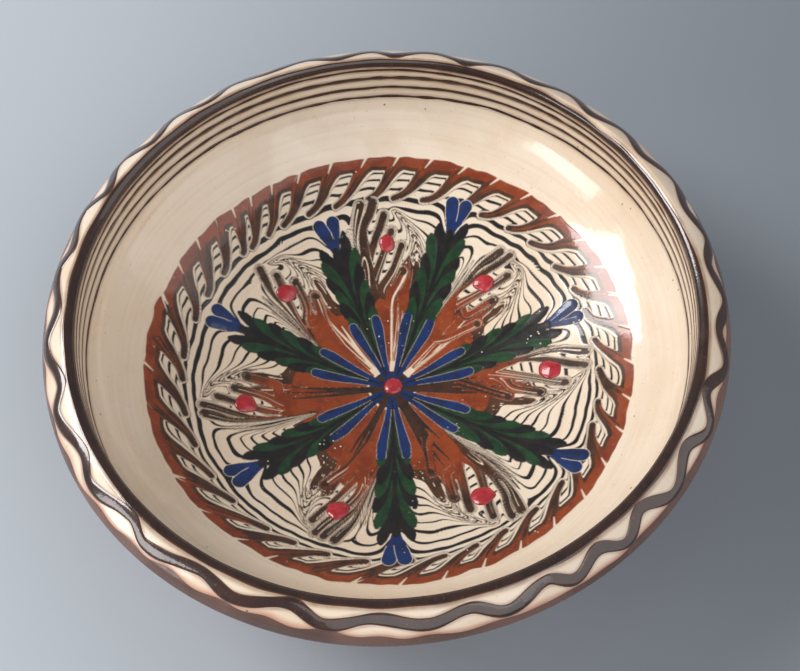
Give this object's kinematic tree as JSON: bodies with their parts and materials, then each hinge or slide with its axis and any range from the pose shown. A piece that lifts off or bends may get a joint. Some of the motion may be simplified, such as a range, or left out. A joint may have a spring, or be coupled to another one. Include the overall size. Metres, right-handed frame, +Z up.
{
  "type": "decorated deep plate",
  "caption": "Round deep earthenware plate on a foot ring, upright wall and down-turned lip, painted inside with a combed star of petals and plumes under clear glaze.",
  "frame": {"origin": "centre of the foot ring on the surface the plate stands on", "axes": "+Z up along the wheel axis; -Y is the edge nearest to the viewer"},
  "size_m": [0.25, 0.25, 0.0752],
  "materials": {
    "fired_clay": "fired red earthenware under a thin clear glaze, bare on the foot ring",
    "cream_slip": "cream slip under glossy clear glaze",
    "brown_slip": "dark brown trailed slip under glossy clear glaze",
    "orange_slip": "orange slip combed with brown and cream, glossy clear glaze",
    "ringed_slip": "cream slip with thin black rings, glossy clear glaze",
    "marbled_slip": "orange, brown and cream slips dragged together, glossy clear glaze",
    "leaf_slip": "black and green trailed slip drops, glossy clear glaze",
    "blue_slip": "blue trailed slip, glossy clear glaze",
    "red_slip": "raised crimson slip dots, glossy clear glaze"
  },
  "bodies": {
    "root": {"centre_dot": "red_slip", "clay_body": "fired_clay", "combed_border": "orange_slip", "cream_slip_coat": "cream_slip", "dot_1": "red_slip", "dot_2": "red_slip", "dot_3": "red_slip", "dot_4": "red_slip", "dot_5": "red_slip", "dot_6": "red_slip", "dot_7": "red_slip", "lip_wave_line": "brown_slip", "petal_1": "marbled_slip", "petal_2": "marbled_slip", "petal_3": "marbled_slip", "petal_4": "marbled_slip", "petal_5": "marbled_slip", "petal_6": "marbled_slip", "petal_7": "marbled_slip", "plume_leaves_1": "leaf_slip", "plume_leaves_2": "leaf_slip", "plume_leaves_3": "leaf_slip", "plume_leaves_4": "leaf_slip", "plume_leaves_5": "leaf_slip", "plume_leaves_6": "leaf_slip", "plume_leaves_7": "leaf_slip", "plume_root_1_left": "blue_slip", "plume_root_1_right": "blue_slip", "plume_root_2_left": "blue_slip", "plume_root_2_right": "blue_slip", "plume_root_3_left": "blue_slip", "plume_root_3_right": "blue_slip", "plume_root_4_left": "blue_slip", "plume_root_4_right": "blue_slip", "plume_root_5_left": "blue_slip", "plume_root_5_right": "blue_slip", "plume_root_6_left": "blue_slip", "plume_root_6_right": "blue_slip", "plume_root_7_left": "blue_slip", "plume_root_7_right": "blue_slip", "plume_tip_1": "blue_slip", "plume_tip_2": "blue_slip", "plume_tip_3": "blue_slip", "plume_tip_4": "blue_slip", "plume_tip_5": "blue_slip", "plume_tip_6": "blue_slip", "plume_tip_7": "blue_slip", "rim_band": "brown_slip", "ringed_field": "ringed_slip", "wall_line_1": "brown_slip", "wall_line_2": "brown_slip", "wall_line_3": "brown_slip", "wall_line_4": "brown_slip"}
  },
  "joints": []
}
